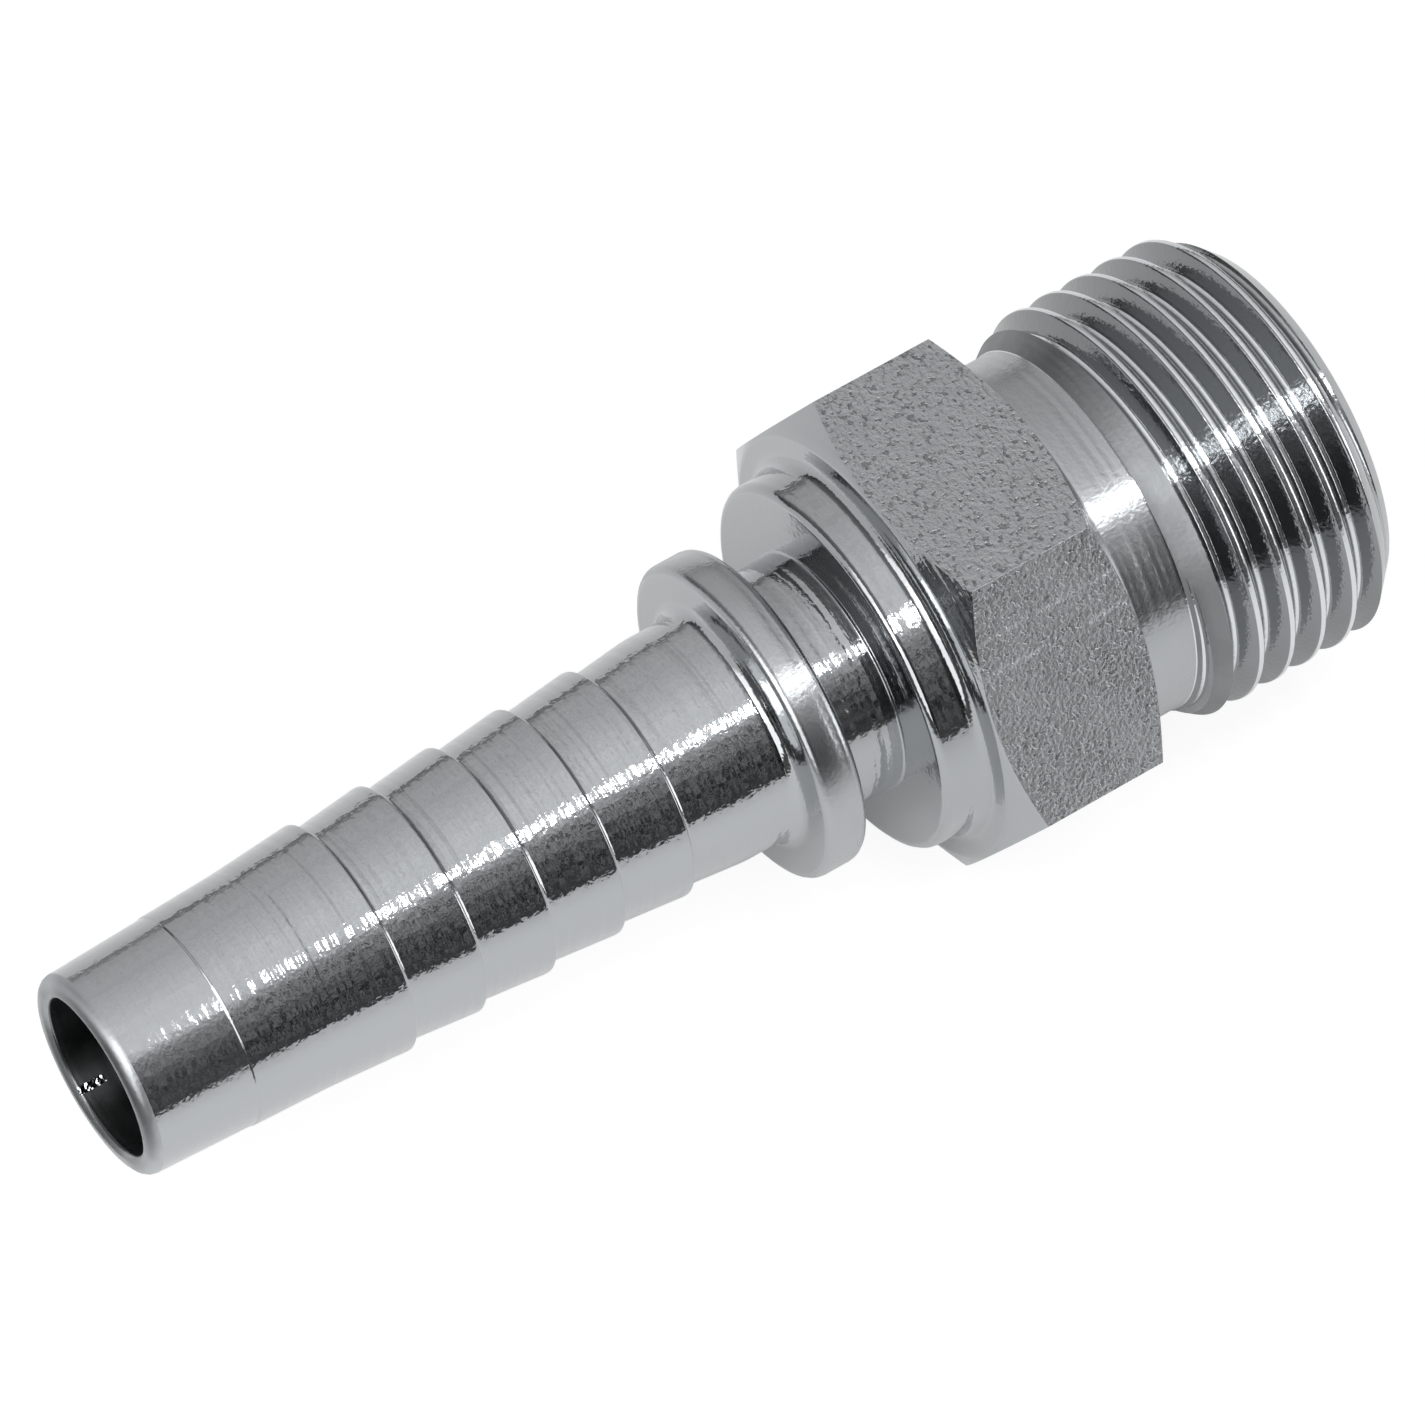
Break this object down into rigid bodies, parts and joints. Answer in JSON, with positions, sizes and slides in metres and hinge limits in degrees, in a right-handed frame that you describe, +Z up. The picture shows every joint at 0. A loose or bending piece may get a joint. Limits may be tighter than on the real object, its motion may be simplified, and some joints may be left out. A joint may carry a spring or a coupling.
{
  "type": "straight male hose fitting",
  "caption": "Straight hose fitting turned from hexagon bar: a barbed hose tail, crimp collars, a hexagon and a male thread around a sealing cone.",
  "frame": {"origin": "middle of the hexagon flat that the fitting lies on; the fitting's axis is half the width across flats above it", "axes": "+X along the fitting's axis from the hose end to the thread end, +Z up, out of the flat it lies on into the part"},
  "size_m": [0.056, 0.022, 0.019],
  "materials": {
    "zinc_plated_steel": "turned steel with a bright zinc plating and fine tool marks, satin on the hexagon flats"
  },
  "bodies": {
    "root": {"hose_fitting": "zinc_plated_steel"}
  },
  "joints": []
}
